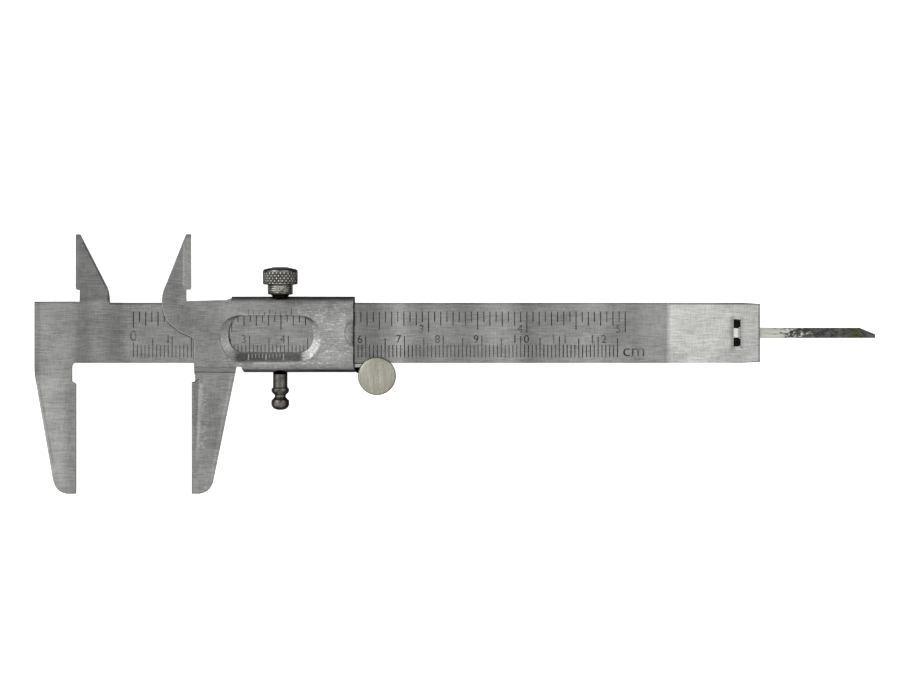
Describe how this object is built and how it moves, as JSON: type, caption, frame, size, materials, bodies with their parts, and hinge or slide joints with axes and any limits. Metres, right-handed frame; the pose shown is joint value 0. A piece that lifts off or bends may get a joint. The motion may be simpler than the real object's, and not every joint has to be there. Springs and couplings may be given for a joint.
{
  "type": "vernier caliper",
  "caption": "Stamped-steel vernier caliper with outside and inside jaws, depth rod, windowed slider, knurled lock screw, finger brake and thumb roller.",
  "frame": {"origin": "centre of the bounding box in plan, at the surface that the caliper lies on", "axes": "+X along the beam from the fixed jaws to the depth rod's tip, +Y across the beam towards the inside jaws, +Z out of the engraved face"},
  "size_m": [0.2174, 0.0672, 0.0091],
  "materials": {
    "beam_steel": "brushed along the beam, blackened engraving",
    "slider_steel": "brushed and lightly worn",
    "carrier_steel": "stamped, lightly brushed",
    "rod_steel": "ground, tarnished towards the tip",
    "gib_steel": "bright strip",
    "rivet_zinc": "dull zinc plate",
    "gunmetal": "dark blackened steel, edges rubbed bright",
    "black_steel": "blackened sheet steel",
    "roller_nickel": "worn nickel plate, brushed across the face",
    "brass": "turned brass"
  },
  "bodies": {
    "beam_body": {"beam": "beam_steel", "depth_rod_keeper": "black_steel"},
    "slider": {"slider_shell": "slider_steel", "rod_carrier": "carrier_steel", "carrier_rivet_1": "rivet_zinc", "carrier_rivet_2": "rivet_zinc", "carrier_rivet_3": "rivet_zinc", "carrier_rivet_4": "rivet_zinc", "arm_rivet_1": "rivet_zinc", "arm_rivet_2": "rivet_zinc", "rod_rivet_1": "rivet_zinc", "rod_rivet_2": "rivet_zinc", "depth_rod": "rod_steel", "roller_arm": "black_steel", "roller_washer": "rivet_zinc"},
    "lock_tip": {"lock_pad": "brass"},
    "lock_knob": {"lock_screw": "gunmetal"},
    "brake": {"brake_pin": "gunmetal", "gib_strip": "gib_steel"},
    "roller": {"thumb_roller": "roller_nickel", "roller_clip": "black_steel"}
  },
  "joints": [
    {"name": "slider_slide", "type": "slide", "parent": "beam_body", "child": "slider", "axis": [1, 0, 0], "range_m": [-0.02998, 0.095]},
    {"name": "lock_tip_travel", "type": "slide", "parent": "slider", "child": "lock_tip", "axis": [0, 1, 0], "range_m": [-0.00014, 0.0007]},
    {"name": "lock_screw_turn", "type": "hinge", "parent": "lock_tip", "child": "lock_knob", "pos_m": [-0.04525, 0.00805, 0.00455], "axis": [0, 1, 0], "range_deg": [-72.5, 360.5]},
    {"name": "brake_press", "type": "slide", "parent": "slider", "child": "brake", "axis": [0, 1, 0], "range_m": [0, 0.00015], "stiffness_N_per_m": 300, "springref_m": -0.0002},
    {"name": "roller_spin", "type": "hinge", "parent": "slider", "child": "roller", "pos_m": [-0.0202, -0.0031, 0.00455], "axis": [0, 0, 1], "range_deg": [-515, 1627]}
  ],
  "couplings": [
    {"joint": "lock_screw_turn", "follows": "lock_tip_travel", "rad_per_m": 8976},
    {"joint": "roller_spin", "follows": "slider_slide", "rad_per_m": 298.51}
  ]
}
